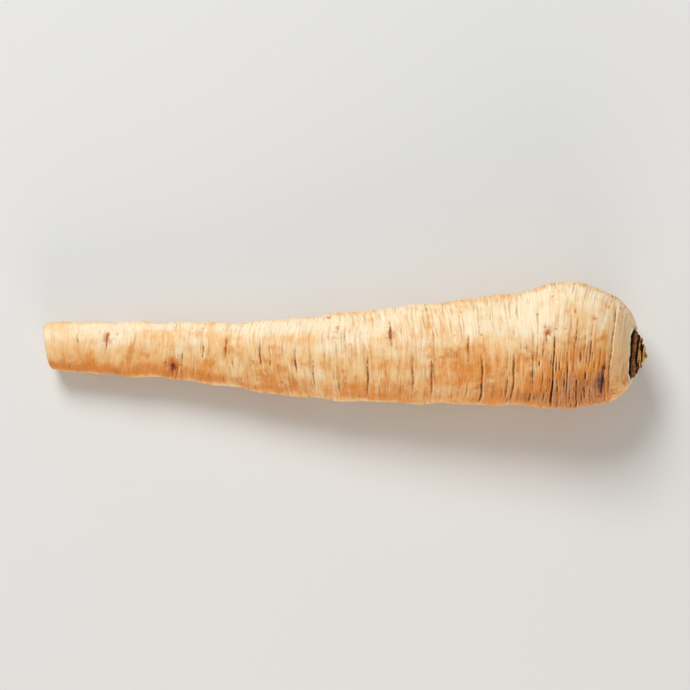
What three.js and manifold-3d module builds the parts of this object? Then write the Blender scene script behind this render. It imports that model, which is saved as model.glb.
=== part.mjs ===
// A trimmed parsnip root, lying on its side on a flat surface.
//
// The root is one solid: a cut tip, a long tapering body that bows a little to one side, ring
// wrinkles that run part of the way round it, a round shoulder, and a sunken crown. In the crown
// stand the dried stubs of the leaf stalks, one sheath inside the other, each a little taller.
//
// Units are millimetres and +Z is up. +X runs along the root towards the crown, and the origin
// lies under the middle of the whole part, on the surface that it rests on.

import * as THREE from "three";
import { mergeVertices } from "three/addons/utils/BufferGeometryUtils.js";
import Module from "manifold-3d";

const wasm = await Module();
wasm.setup();

// Driving dimensions

const RIM_AT = 174; // crown rim, measured from the cut tip
const RIM_RADIUS = 8.8;
const RECESS_RADIUS = 7.8;
const RECESS_DEPTH = 3.2;
const FLATTENING = 0.965; // height of a cross-section over its width
const WRINKLE_HALF_WIDTH = 0.8;
const SIDES = 44; // faces round a cross-section
const LONGEST_STEP = 3.1; // between two cross-sections

const STUB_CLEARANCE = 0.35; // gap between the stubs and the floor of the recess
const STUB_FLOOR = RIM_AT - RECESS_DEPTH + STUB_CLEARANCE; // foot of the stubs
const STUB_TIP_AT = 177.9; // tip of the tallest stub, measured from the cut tip
const STUB_RADIUS = 7.3;
const SHEATHS = 7;
const SHEATH_THICKNESS = 0.6;
const SHEATH_INNER_RADIUS = 1.2; // of the innermost sheath
const SHEATH_STEPS = 2.8; // from the top of the outermost sheath to the top of the innermost
const SHEATH_LEAN = 0.06; // share of its radius by which the top of a sheath leans in

// Half the width of the root at distances from the cut tip.
const OUTLINE = [
  [1.2, 7.0],
  [5, 7.4],
  [25, 8.0],
  [42, 8.6],
  [58, 9.8],
  [85, 12.6],
  [111, 14.6],
  [129, 15.8],
  [142, 17.1],
  [154.5, 18.85],
  [162.5, 17.5],
  [168.3, 15.2],
  [172, 12.1],
  [RIM_AT - 0.5, 9.8],
];

// How far the middle of a cross-section lies to the side: the root bows towards -Y.
const SIDEWAYS = [
  [0, -0.4],
  [18, -1.1],
  [40, -1.8],
  [58, -3.2],
  [78, -3.8],
  [111, -2.9],
  [142, -1.1],
  [154, 0],
  [166, -1.1],
  [RIM_AT, -2.9],
];

// Height of the middle of a cross-section. The skin comes down to the surface in three places:
// near the tip, under the belly and under the shoulder.
const HEIGHT = [
  [0, 6.6],
  [8, 6.86],
  [88, 12.2],
  [152, 17.82],
  [165, 18.1],
  [RIM_AT, 17.9],
];

// The deepest ring wrinkles: distance from the tip, the direction they face (0 degrees is +Y and
// 90 is straight up), half their span in degrees, and their depth.
const WRINKLES = [
  [10, 68, 16, 0.3],
  [17.9, 72, 26, 0.4],
  [38.5, 130, 26, 0.5],
  [47.5, 86, 20, 0.35],
  [54.6, 81, 20, 0.4],
  [65, 91, 26, 0.45],
  [75.5, 91, 26, 0.55],
  [80.3, 114, 24, 0.5],
  [95.5, 118, 42, 0.5],
  [102, 62, 22, 0.5],
  [107.9, 112, 28, 0.45],
  [113.2, 120, 26, 0.55],
  [123.7, 88, 20, 0.5],
  [127.5, 130, 38, 0.8],
  [136.7, 125, 34, 0.65],
  [142.7, 115, 22, 0.45],
  [149.5, 125, 54, 1.0],
  [154.5, 117, 24, 0.55],
  [158, 151, 28, 0.6],
  [162, 92, 24, 0.45],
  [165.4, 126, 20, 1.2],
  [168.2, 86, 62, 0.5],
];

// Small helpers

const radians = THREE.MathUtils.degToRad;
const smoothstep = THREE.MathUtils.smoothstep;

// A smooth curve through hand-chosen points: a cubic between two of them, whose slope at each
// point is that of the line from the point before to the point after.
function smoothThrough(points) {
  const slope = (i) => {
    const before = points[Math.max(i - 1, 0)];
    const after = points[Math.min(i + 1, points.length - 1)];
    return (after[1] - before[1]) / (after[0] - before[0]);
  };
  return (at) => {
    const x = THREE.MathUtils.clamp(at, points[0][0], points.at(-1)[0]);
    let i = 0;
    while (i < points.length - 2 && x > points[i + 1][0]) i += 1;
    const [x0, y0] = points[i];
    const [x1, y1] = points[i + 1];
    const gap = x1 - x0;
    const t = (x - x0) / gap;
    const rise = y1 - y0;
    const bend0 = slope(i) * gap - rise;
    const bend1 = slope(i + 1) * gap - rise;
    return y0 + rise * t + t * (1 - t) * (bend0 * (1 - t) - bend1 * t);
  };
}

// A number from 0 to 1 that looks random and is the same on every run.
function scatter(n) {
  const wave = Math.sin(n * 12.9898 + 4.1414) * 43758.5453;
  return wave - Math.floor(wave);
}

// The smallest angle from one direction to another.
const angleBetween = (a, b) => Math.abs(Math.atan2(Math.sin(a - b), Math.cos(a - b)));

// A mesh with its doubled vertices merged, so that it is one closed surface.
function closed(geometry) {
  geometry.deleteAttribute("normal");
  geometry.deleteAttribute("uv");
  return mergeVertices(geometry, 1e-4);
}

function toSolid(geometry) {
  return new wasm.Manifold(
    new wasm.Mesh({
      numProp: 3,
      vertProperties: new Float32Array(geometry.getAttribute("position").array),
      triVerts: new Uint32Array(geometry.index.array),
    }),
  );
}

// The triangles of a solid, each vertex passed through a function from (x, y, z) to a Vector3.
function toGeometry(solid, bend) {
  const { numProp, vertProperties, triVerts } = solid.getMesh();
  const positions = new Float32Array(triVerts.length * 3);
  triVerts.forEach((vertex, corner) => {
    const [x, y, z] = vertProperties.subarray(vertex * numProp, vertex * numProp + 3);
    bend(x, y, z).toArray(positions, corner * 3);
  });
  return new THREE.BufferGeometry().setAttribute("position", new THREE.BufferAttribute(positions, 3));
}

// The form of the root

const halfWidth = smoothThrough(OUTLINE);
const sideways = smoothThrough(SIDEWAYS);
const height = smoothThrough(HEIGHT);

// Moves a point given along the straight root (distance from the tip, then across and up from
// its middle) to where the bowed root has it. Both cut ends stand a little askew: the factors
// are how far the end leans along the root for each millimetre across it or up.
function place(along, across, up) {
  const atTip = 1 - smoothstep(along, 0, 30);
  const atCrown = smoothstep(along, 140, RIM_AT);
  return new THREE.Vector3(
    along + across * (0.09 * atCrown - 0.13 * atTip) - up * (0.19 * atCrown + 0.04 * atTip),
    sideways(along) + across,
    height(along) + up,
  );
}

// Every wrinkle as an arc. The ones that face the sky come from the list above, and each has
// one or two others at the same distance from the tip on the sides that the list leaves plain.
function allWrinkles() {
  const arcs = [];
  WRINKLES.forEach(([at, facing, span, depth], n) => {
    arcs.push({ at, facing: radians(facing), span: radians(span), depth });
    const others = n % 3 === 0 ? 1 : 2;
    for (let k = 1; k <= others; k += 1) {
      const turn = facing + (360 * k) / (others + 1) + 50 * (scatter(n * 7 + k) - 0.5);
      arcs.push({
        at,
        facing: radians(turn),
        span: radians(22 + 34 * scatter(n * 11 + k)),
        depth: depth * (0.45 + 0.5 * scatter(n * 5 + k)),
      });
    }
  });
  return arcs;
}

const arcs = allWrinkles();

// How deep the wrinkles cut into the skin: each is a V across and fades towards its two ends.
function wrinkleDepth(along, turn) {
  return arcs.reduce((sum, { at, facing, span, depth }) => {
    const across = Math.abs(along - at) / WRINKLE_HALF_WIDTH;
    const round = angleBetween(turn, facing) / span;
    if (across >= 1 || round >= 1) return sum;
    return sum + depth * (1 - across) * (1 - round * round);
  }, 0);
}

// How far the skin stands out from the plain outline: lobes of 1% or so of the radius, and slow
// swellings of a fifth of a millimetre, less the wrinkles. Lobes and swellings fade out at both
// ends, and underneath, where the root rests.
function relief(along, turn) {
  const ends = smoothstep(along, 2, 14) * (1 - smoothstep(along, 166, RIM_AT));
  const notUnder = 1 - smoothstep(-Math.sin(turn), 0.55, 0.95);
  const twoLobes = 0.014 * Math.sin(2 * turn + along / 40);
  const threeLobes = 0.01 * Math.sin(3 * turn - along / 23);
  const longSwelling = 0.2 * Math.sin(along / 3.3 + 1.5 * Math.sin(turn));
  const shortSwelling = 0.16 * Math.sin(along / 1.9 - 2 * turn);
  const swelling = halfWidth(along) * (twoLobes + threeLobes) + longSwelling + shortSwelling;
  return ends * notUnder * swelling - wrinkleDepth(along, turn);
}

// The rings don't run square round the root: each wanders up to a millimetre along it.
function wander(along, turn) {
  const ends = smoothstep(along, 3, 20) * (1 - smoothstep(along, 158, RIM_AT - 2));
  return ends * (0.8 * Math.sin(turn + along / 21) + 0.4 * Math.sin(2 * turn - along / 13 + 1.1));
}

// Distances from the tip at which the side has a cross-section: three at each wrinkle, and
// enough between them that no step is longer than LONGEST_STEP.
function sideStations() {
  const wanted = new Set([OUTLINE[0][0], OUTLINE.at(-1)[0]]);
  WRINKLES.forEach(([at]) => {
    [at - WRINKLE_HALF_WIDTH, at, at + WRINKLE_HALF_WIDTH].forEach((s) => wanted.add(s));
  });
  const sorted = [...wanted].sort((a, b) => a - b);
  return sorted.flatMap((s, i) => {
    const gap = i === sorted.length - 1 ? 0 : sorted[i + 1] - s;
    const steps = Math.max(Math.ceil(gap / LONGEST_STEP), 1);
    return Array.from({ length: steps }, (_, k) => s + (gap * k) / steps);
  });
}

// The profile that is turned round the root's middle line: [radius, distance from the tip]. The
// cut tip is nearly flat with a dried ring round its core, and the crown is sunk.
function rootProfile() {
  const cutTip = [
    [0, -0.15],
    [2.1, -0.15],
    [2.7, 0.1],
    [5.6, 0.05],
    [6.5, 0.3],
  ];
  const side = sideStations().map((s) => [halfWidth(s), s]);
  const floorAt = RIM_AT - RECESS_DEPTH;
  const crown = [
    [RIM_RADIUS + 0.3, RIM_AT - 0.1],
    [RIM_RADIUS - 0.3, RIM_AT],
    [RECESS_RADIUS + 0.2, RIM_AT - 0.3],
    [RECESS_RADIUS, floorAt + 0.8],
    [RECESS_RADIUS - 0.6, floorAt],
    [0, floorAt],
  ];
  return { points: [...cutTip, ...side, ...crown], firstSide: cutTip.length, sides: side.length };
}

function rootGeometry() {
  const { points, firstSide, sides } = rootProfile();
  const outline = points.map(([radius, along]) => new THREE.Vector2(radius, along));
  const turned = new THREE.LatheGeometry(outline, SIDES);
  const position = turned.getAttribute("position");
  for (let v = 0; v < position.count; v += 1) {
    const row = v % points.length;
    const turn = ((Math.floor(v / points.length) % SIDES) / SIDES) * 2 * Math.PI;
    let [radius, along] = points[row];
    if (row >= firstSide && row < firstSide + sides) {
      const moved = along + wander(along, turn);
      radius += halfWidth(moved) - halfWidth(along) + relief(along, turn);
      along = moved;
    }
    const p = place(along, radius * Math.cos(turn), FLATTENING * radius * Math.sin(turn));
    position.setXYZ(v, p.x, p.y, Math.max(p.z, 0));
  }
  return closed(turned);
}

// The leaf stalk stubs, made along Z from their foot and then set into the crown

// The low mound that all the sheaths grow from.
function moundGeometry() {
  const top = STUB_TIP_AT - STUB_FLOOR - 1.7;
  const profile = [
    [0, 0],
    [STUB_RADIUS - 0.5, 0],
    [STUB_RADIUS - 0.3, 1.2],
    [STUB_RADIUS - 0.7, 2.4],
    [STUB_RADIUS - 2.3, top - 1.4],
    [STUB_RADIUS - 4.4, top - 0.4],
    [0, top],
  ].map(([radius, up]) => new THREE.Vector2(radius, up));
  const mound = new THREE.LatheGeometry(profile, 28);
  mound.rotateX(Math.PI / 2);
  return closed(mound);
}

// One sheath: a plate bent round the axis, leaning in, with a ragged top edge. Sheath 0 is the
// outermost and lowest, and each next one stands further in and taller. They face every way in
// turn, a golden angle from one to the next, as leaves do on a stem.
function sheathGeometry(n) {
  const inwards = n / (SHEATHS - 1);
  const outermost = STUB_RADIUS - SHEATH_THICKNESS / 2;
  const radius = THREE.MathUtils.lerp(outermost, SHEATH_INNER_RADIUS, inwards);
  const top = STUB_TIP_AT - STUB_FLOOR - SHEATH_STEPS * (1 - inwards);
  const facing = 1.9 + n * Math.PI * (3 - Math.sqrt(5));
  const halfSpan = radians(100 + 30 * scatter(n + 3));
  const around = 18 - n;
  const plate = new THREE.BoxGeometry(2, 1, 1, around, 3, 1);
  const position = plate.getAttribute("position");
  for (let v = 0; v < position.count; v += 1) {
    const side = position.getX(v); // -1 to 1 along the sheath
    const up = position.getY(v) + 0.5; // 0 at its foot, 1 at its top
    const outwards = position.getZ(v); // half a thickness to either side
    const tooth = Math.round(((side + 1) / 2) * around);
    const ragged = 0.5 * (scatter(n * 31 + tooth) - 0.5) - 1.2 * side ** 4;
    const thickness = SHEATH_THICKNESS * (1 - 0.15 * up);
    const r = radius * (1 - SHEATH_LEAN * up ** 2) + outwards * thickness;
    const turn = facing + side * halfSpan;
    position.setXYZ(v, r * Math.cos(turn), r * Math.sin(turn), up * (top + ragged));
  }
  return closed(plate);
}

function stubGeometry() {
  const sheaths = Array.from({ length: SHEATHS }, (_, n) => toSolid(sheathGeometry(n)));
  const whole = sheaths.reduce((sum, sheath) => sum.add(sheath), toSolid(moundGeometry()));
  return toGeometry(whole, (x, y, z) => place(STUB_FLOOR + z, x, FLATTENING * y));
}

// The whole part

const skin = new THREE.MeshStandardMaterial({ color: 0xe6c08a, roughness: 0.6, metalness: 0 });
const driedStalk = new THREE.MeshStandardMaterial({ color: 0x6b4526, roughness: 0.85, metalness: 0 });

const root = new THREE.Mesh(rootGeometry(), skin);
root.name = "root";

const stubs = new THREE.Mesh(stubGeometry(), driedStalk);
stubs.name = "leaf_stalk_stubs";

const parsnip = new THREE.Group();
parsnip.add(root, stubs);

const box = new THREE.Box3().setFromObject(parsnip);
parsnip.position.set(-(box.min.x + box.max.x) / 2, -(box.min.y + box.max.y) / 2, -box.min.z);

export default parsnip;
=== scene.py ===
# %% [markdown]
# # A trimmed parsnip
#
# A parsnip is a swollen tap root. A washed and trimmed one has a cut tip, a long body that tapers
# and bows a little, rings of wrinkles where the skin folded as the root pulled itself down, a
# broad shoulder, and a sunken crown with the dried bases of the leaf stalks. The solid part gives
# its size and place. This scene makes the same forms again on much finer surfaces, adds the small
# relief that a solid part has no room for, and gives every surface its finish.

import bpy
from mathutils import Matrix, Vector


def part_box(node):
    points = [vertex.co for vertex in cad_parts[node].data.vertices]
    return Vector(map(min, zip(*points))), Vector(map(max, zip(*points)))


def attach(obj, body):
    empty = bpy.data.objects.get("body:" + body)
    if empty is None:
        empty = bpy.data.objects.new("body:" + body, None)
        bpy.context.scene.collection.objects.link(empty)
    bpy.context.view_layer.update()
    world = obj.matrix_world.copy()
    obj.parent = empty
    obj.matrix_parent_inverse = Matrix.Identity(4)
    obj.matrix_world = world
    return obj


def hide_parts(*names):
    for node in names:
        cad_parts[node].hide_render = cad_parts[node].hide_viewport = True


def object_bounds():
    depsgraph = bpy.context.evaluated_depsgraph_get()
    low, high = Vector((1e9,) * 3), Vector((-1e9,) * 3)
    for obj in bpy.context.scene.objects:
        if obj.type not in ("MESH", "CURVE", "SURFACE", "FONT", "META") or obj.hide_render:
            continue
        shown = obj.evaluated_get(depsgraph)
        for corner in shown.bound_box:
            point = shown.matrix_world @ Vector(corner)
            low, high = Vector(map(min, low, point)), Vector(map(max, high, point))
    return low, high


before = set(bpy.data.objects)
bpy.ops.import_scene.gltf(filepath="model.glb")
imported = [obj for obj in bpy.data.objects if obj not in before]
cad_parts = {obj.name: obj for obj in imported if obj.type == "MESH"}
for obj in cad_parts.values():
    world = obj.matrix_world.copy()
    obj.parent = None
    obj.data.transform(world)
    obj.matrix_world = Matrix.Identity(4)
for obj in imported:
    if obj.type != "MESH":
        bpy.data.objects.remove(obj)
cad_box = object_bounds()
print("solid part, mm:", [round(1000 * (high - low), 1) for low, high in zip(*cad_box)])

# %% Libraries and units
import math

import bpy
import numpy as np

MM = 0.001  # the shapes below are worked out in millimetres, and Blender's meshes are in metres
full_turn = 2 * math.pi

# %% [markdown]
# ## Small helpers
#
# Most of the shape comes from smooth curves through a few listed points, which is how a
# boat's lines or a turned leg are drawn. They are written for whole arrays, so that one call
# gives the value at every vertex.


# %% Curves, steps and angles
def smooth_through(points, at):
    """A smooth curve through given points, read at every place in an array.

    Between two points it is the straight line between them plus t times (1 - t) times a bend.
    The bend starts as the curve's slope at the first point less the line's own, and ends as the
    line's slope less the curve's at the second. A point's slope is that of the line from the
    point before it to the point after it.
    """
    x, y = np.array(points, float).T
    last = len(x) - 1
    number = np.arange(last + 1)
    before, after = np.maximum(number - 1, 0), np.minimum(number + 1, last)
    slope = (y[after] - y[before]) / (x[after] - x[before])
    at = np.clip(at, x[0], x[-1])
    i = np.clip(np.searchsorted(x, at) - 1, 0, last - 1)
    gap, rise = x[i + 1] - x[i], y[i + 1] - y[i]
    t = (at - x[i]) / gap
    bend_in, bend_out = slope[i] * gap - rise, slope[i + 1] * gap - rise
    return y[i] + rise * t + t * (1 - t) * (bend_in * (1 - t) - bend_out * t)


def smooth_step(at, low, high):
    """0 below low, 1 above high, and 3t squared less 2t cubed between them."""
    t = np.clip((at - low) / (high - low), 0, 1)
    return t * t * (3 - 2 * t)


def angle_between(a, b):
    """The smaller angle from one direction to another, from 0 to half a turn."""
    return np.abs(np.arctan2(np.sin(a - b), np.cos(a - b)))


def scatter(n):
    """A number from 0 to 1 that looks random: what follows the point in a very steep sine."""
    wave = np.sin(n * 12.9898 + 4.1414) * 43758.5453
    return wave - np.floor(wave)


def together(*columns):
    """Numbers and arrays of fitting shapes as one array, which holds them all at each place."""
    return np.stack(np.broadcast_arrays(*columns), axis=-1)


# %% [markdown]
# ## The form of the root
#
# The root is described straightened out: s is the distance from the cut tip in millimetres, and
# the turn is the direction round it, where 0 is +Y and a quarter turn is straight up. The curves
# give its half width, how far its middle lies to the side, and how high. They are the solid
# part's own, so the fine surface lies where the solid does.

# %% Driving dimensions, in millimetres
RIM_AT = 174  # the crown's rim, from the cut tip
RECESS_RADIUS = 7.8
RECESS_DEPTH = 3.2
FLATTENING = 0.965  # height of a cross-section over its width
# How far a point moves along the root, over how far it is across and over how far it is up.
TIP_ASKEW = (-0.13, -0.04)
CROWN_ASKEW = (0.09, -0.19)

OUTLINE = [
    (1.2, 7.0), (5, 7.4), (25, 8.0), (42, 8.6), (58, 9.8), (85, 12.6), (111, 14.6), (129, 15.8),
    (142, 17.1), (154.5, 18.85), (162.5, 17.5), (168.3, 15.2), (172, 12.1), (RIM_AT - 0.5, 9.8),
]
SIDEWAYS = [
    (0, -0.4), (18, -1.1), (40, -1.8), (58, -3.2), (78, -3.8), (111, -2.9), (142, -1.1), (154, 0),
    (166, -1.1), (RIM_AT, -2.9),
]
HEIGHT = [(0, 6.6), (8, 6.86), (88, 12.2), (152, 17.82), (165, 18.1), (RIM_AT, 17.9)]


# %% Bowing, lobes and rings
def place(along, across, up):
    """Where the bowed root has a point of the straight one.

    The point moves sideways and up by the curves above. Near the tip and the crown it also
    moves along the root by a small share of how far it is across and up, so both ends are askew.
    """
    at_tip = 1 - smooth_step(along, 0, 30)
    at_crown = smooth_step(along, 140, RIM_AT)
    by_across, by_up = (
        crown * at_crown + tip * at_tip for crown, tip in zip(CROWN_ASKEW, TIP_ASKEW)
    )
    x = along + across * by_across + up * by_up
    y = smooth_through(SIDEWAYS, along) + across
    z = smooth_through(HEIGHT, along) + up
    return together(x, y, z)


def wander(s, turn):
    """How far the rings run along the root: two slow sines round it, of 0.8 and 0.4 mm. They
    drift along it and fade at both ends."""
    ends = smooth_step(s, 3, 20) * (1 - smooth_step(s, 158, RIM_AT - 2))
    return ends * (0.8 * np.sin(turn + s / 21) + 0.4 * np.sin(2 * turn - s / 13 + 1.1))


def swelling(s, turn):
    """Two lobes and three lobes round the root, each about a hundredth of its radius, and two
    slow waves along it of about a fifth of a millimetre. They fade at both ends and underneath."""
    ends = smooth_step(s, 2, 14) * (1 - smooth_step(s, 166, RIM_AT))
    not_under = 1 - smooth_step(-np.sin(turn), 0.55, 0.95)
    lobes = 0.014 * np.sin(2 * turn + s / 40) + 0.01 * np.sin(3 * turn - s / 23)
    waves = 0.2 * np.sin(s / 3.3 + 1.5 * np.sin(turn)) + 0.16 * np.sin(s / 1.9 - 2 * turn)
    return ends * not_under * (smooth_through(OUTLINE, s) * lobes + waves)


# %% [markdown]
# ## Wrinkles
#
# A parsnip's wrinkles are folds in the skin that run part of the way round. Each has a sharp
# dark bottom and a low lip on both sides. Sculpting them by hand would take hours and leave
# nothing to adjust, so each one is a formula on the grid: a narrow cut, a lip beside it, and a
# fade towards both ends. The deep ones are listed, and the fine ones are drawn at random.

# %% The deep wrinkles
# Distance from the tip, direction faced and half span in degrees, and depth.
WRINKLES = [
    (10, 68, 16, 0.3), (17.9, 72, 26, 0.4), (38.5, 130, 26, 0.5), (47.5, 86, 20, 0.35),
    (54.6, 81, 20, 0.4), (65, 91, 26, 0.45), (75.5, 91, 26, 0.55), (80.3, 114, 24, 0.5),
    (95.5, 118, 42, 0.5), (102, 62, 22, 0.5), (107.9, 112, 28, 0.45), (113.2, 120, 26, 0.55),
    (123.7, 88, 20, 0.5), (127.5, 130, 38, 0.8), (136.7, 125, 34, 0.65), (142.7, 115, 22, 0.45),
    (149.5, 125, 54, 1.0), (154.5, 117, 24, 0.55), (158, 151, 28, 0.6), (162, 92, 24, 0.45),
    (166.6, 126, 20, 1.2), (168.4, 86, 62, 0.5),
]


def deep_arcs():
    """The listed wrinkles, each with one or two more at the same distance on its plain sides.

    Those span 22 to 56 degrees to each side and are 0.45 to 0.95 times as deep. On the side
    towards +Y, where the skin is rubbed smooth, up to 0.55 of that is taken off.
    """
    arcs = []
    for n, (at, facing, span, depth) in enumerate(WRINKLES):
        arcs.append((at, math.radians(facing), math.radians(span), depth))
        others = 1 if n % 3 == 0 else 2
        for k in range(1, others + 1):
            turn = math.radians(facing + 360 * k / (others + 1) + 50 * (scatter(n * 7 + k) - 0.5))
            span_here = math.radians(22 + 34 * scatter(n * 11 + k))
            rubbed = smooth_step(math.cos(turn), 0.1, 0.5)
            shallower = (0.45 + 0.5 * scatter(n * 5 + k)) * (1 - 0.55 * rubbed)
            arcs.append((at, turn, span_here, depth * shallower))
    return arcs


# %% The fine wrinkles
FINE_WRINKLES = 420
SHOULDER_WRINKLES = 190
random = np.random.default_rng(7)


def fine_arcs():
    """Short, shallow wrinkles all over, most of them faint.

    They stand closer towards the shoulder: the distance from the tip is the whole length times
    a random number to the 0.75. The half span is half a length of 2 to 11 mm over the radius
    there. The depth is 0.03 mm plus 0.45 mm times a random number to the 2.4, so few are deep.
    It is weakened in patches, and on the side towards +Y, where the skin is rubbed smooth.
    """
    at = 4 + 165 * random.random(FINE_WRINKLES) ** 0.75
    facing = random.uniform(0, full_turn, FINE_WRINKLES)
    length = random.uniform(2, 11, FINE_WRINKLES)
    depth = 0.03 + 0.45 * random.random(FINE_WRINKLES) ** 2.4
    patch = 0.5 + 0.5 * np.sin(at / 9 + 2 * facing) * np.sin(at / 23 - 3 * facing)
    rubbed = smooth_step(np.cos(facing), 0.1, 0.7)
    depth *= (0.35 + 0.65 * patch) * (1 - 0.6 * rubbed)
    return list(zip(at, facing, length / 2 / smooth_through(OUTLINE, at), depth))


def shoulder_arcs():
    """More of them, 2 to 10 mm long and 0.1 to 0.6 mm deep, crowded on one side of the shoulder.

    They lie around 155 mm from the tip and 132 degrees round, scattered as a bell curve.
    """
    at = np.clip(random.normal(155, 9, SHOULDER_WRINKLES), 128, 167)
    facing = np.radians(random.normal(132, 26, SHOULDER_WRINKLES))
    length = random.uniform(2, 10, SHOULDER_WRINKLES)
    depth = 0.1 + 0.5 * random.random(SHOULDER_WRINKLES) ** 1.3
    return list(zip(at, facing, length / 2 / smooth_through(OUTLINE, at), depth))


print("wrinkles:", len(deep_arcs()), "deep and", FINE_WRINKLES + SHOULDER_WRINKLES, "fine")

# %% [markdown]
# ## The grid
#
# The whole root is one grid of rings. More rings are spent where a deep wrinkle needs them: they
# are spread by a density along the root.

# %% Rings along the root
AROUND = 144  # vertices in a ring
SIDE_RINGS = 620
TIP_RINGS = 26
CROWN_RINGS = 36
RULER_MARKS = 6000  # places along the root at which the density of rings is worked out


def side_stations():
    """Distances from the tip, with up to three times as many rings near a deep wrinkle.

    The density is 1 plus twice a sum of bells 1 mm wide, one for each wrinkle. Its running sum
    is cut into equal parts, and each part gets a ring.
    """
    ruler = np.linspace(OUTLINE[0][0], OUTLINE[-1][0], RULER_MARKS)
    near = sum(np.exp(-((ruler - at) ** 2)) for at, *_ in WRINKLES)
    spent = np.cumsum(1 + 2 * np.minimum(near, 1))
    return np.interp(np.linspace(spent[0], spent[-1], SIDE_RINGS), spent, ruler)


def resample(corners, rings):
    """A smooth profile through corner points (radius, distance), by the distance along them."""
    corners = np.array(corners, float)
    walked = np.r_[0, np.cumsum(np.hypot(*np.diff(corners, axis=0).T))]
    at = np.linspace(0, walked[-1], rings)
    return [smooth_through(np.stack([walked, column], 1), at) for column in corners.T]


# %% Profiles of the cut tip and the crown
# Corners as radius and distance from the tip. The tip's core is a little proud of its ring.
TIP_FACE = [
    (0.2, -0.15), (2.1, -0.15), (2.7, 0.08), (5.6, 0.05), (6.5, 0.3), (6.9, 0.75), (7.0, 1.1),
]
FLOOR_AT = RIM_AT - RECESS_DEPTH
RIM_INNER_RADIUS = 8.4
CROWN_FACE = [
    (9.6, RIM_AT - 0.36), (9.25, RIM_AT - 0.12), (8.9, RIM_AT + 0.06), (8.5, RIM_AT + 0.05),
    (8.1, RIM_AT - 0.25), (RECESS_RADIUS + 0.05, RIM_AT - 0.9), (RECESS_RADIUS, FLOOR_AT + 0.8),
    (RECESS_RADIUS - 0.6, FLOOR_AT), (4, FLOOR_AT), (0.3, FLOOR_AT),
]

tip_radius, tip_along = resample(TIP_FACE, TIP_RINGS)
crown_radius, crown_along = resample(CROWN_FACE, CROWN_RINGS)
stations = side_stations()
turns = np.arange(AROUND) / AROUND * full_turn
s, turn = np.meshgrid(stations, turns, indexing="ij")
spacing = np.diff(stations)
print("ring spacing, mm:", spacing.min().round(2), "to", spacing.max().round(2))


# %% [markdown]
# ## Cutting the wrinkles
#
# The grid is too coarse for the hairline at the bottom of a fold, so each wrinkle is made twice.
# The grid gets a valley with a lip on both sides. The material gets, at every vertex, how far
# the fold's line is and how strong it is there, and draws the hairline from that. The distance
# runs straight from one vertex to the next, so the line comes out far sharper than the grid.


# %% Where a wrinkle runs
WINDOW = 4  # mm on both sides of a wrinkle in which the rings are touched


def trace(at, facing, span, looseness):
    """The block of the grid that a wrinkle touches, how far it is from the line, and how strong.

    The line is the arc's own place plus two sines of the direction. The strength is 1 less the
    cube of the way to the arc's end, times an uneven factor of 0.5 to 1.
    """
    rows = np.arange(*np.searchsorted(stations, [at - WINDOW, at + WINDOW]))
    way = angle_between(turns, facing) / span
    columns = np.flatnonzero(way < 1)
    here = turns[columns]
    waver = looseness * (0.5 * np.sin(3 * here + 7 * at) + 0.3 * np.sin(11 * here + 3 * at))
    uneven = 0.75 + 0.25 * np.sin(13 * here + 5 * at) * np.sin(6 * here + at)
    off = stations[rows, None] - (at + waver)
    return np.ix_(rows, columns), off, (1 - way[columns] ** 3) * uneven


# %% Valleys with lips
# How loosely the line runs, half width of the cut in mm, and lip over depth.
DEEP_CUT = (0.35, 0.32, 0.24)
FINE_CUT = (0.25, 0.26, 0.35)
FINE_RELIEF = 0.8  # share of their depth that the fine wrinkles get on the grid


def valleys(arcs, looseness, half_width, lip):
    """The relief of a list of wrinkles on the side's grid.

    With d the distance from the wrinkle's line in half widths, the cut is its depth and strength
    times e to the minus d to the 1.3. The lip is a bell 2.8 half widths away.
    """
    height = np.zeros_like(s)
    for at, facing, span, depth in arcs:
        block, off, strength = trace(at, facing, span, looseness)
        d = np.abs(off) / half_width
        shape = lip * np.exp(-(((d - 2.8) / 1.3) ** 2)) - np.exp(-(d ** 1.3))
        height[block] += depth * strength * shape
    return height


# %% Lines for the material
REACH = 1.15  # mm to each side of a wrinkle's line in which its distance is written
FAR = 9.0  # what is written where no line is near
LINE_FIELDS = 5


def unmarked(rings):
    """A line field for some rings, without any line: far away, and neither strong nor warm."""
    return np.full(rings.shape + (3,), (FAR, 0.0, 0.0))


def write_lines(arcs, looseness):
    """Write every wrinkle's distance, strength and warmth into the first field with room.

    The strength is the fold's own times its depth plus 0.1 mm, and at most 1. The warmth of the
    skin beside it is 1.4 times that, times a scattered 0.3 to 1.
    """
    left_out = 0
    for at, facing, span, depth in arcs:
        block, off, strength = trace(at, facing, span, looseness)
        near = np.abs(off) < REACH
        power = np.broadcast_to(min(0.1 + depth, 1.0) * strength, off.shape)
        warmth = np.minimum(1.4 * power, 1) * (0.3 + 0.7 * scatter(at + facing))
        marks = np.dstack([off, power, warmth])
        for field in line_fields:
            if not (field[block][..., 1][near] > 0).any():
                field[block] = np.where(near[..., None], marks, field[block])
                break
        else:
            left_out += 1
    return left_out


line_fields = [unmarked(s) for _ in range(LINE_FIELDS)]
deep, fine = deep_arcs(), fine_arcs() + shoulder_arcs()
deep_height = valleys(deep, *DEEP_CUT)
fine_height = FINE_RELIEF * valleys(fine, *FINE_CUT)
print("deepest cut, mm:", -deep_height.min().round(2), "and", -fine_height.min().round(2))
left_out = write_lines(deep, DEEP_CUT[0]), write_lines(fine, FINE_CUT[0])
print("wrinkles without a line:", left_out[0], "deep and", left_out[1], "fine")


# %% [markdown]
# ## Corrugation and scars
#
# Between the wrinkles the skin is faintly corrugated, with a ridge every millimetre or two. A
# few round scars show where side roots broke off, and one bruise has sunk and gone dark.


# %% Fine corrugation
RIDGE_SINES = 8
RIDGE_HEIGHT = 0.016  # of a sine, over its length


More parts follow.
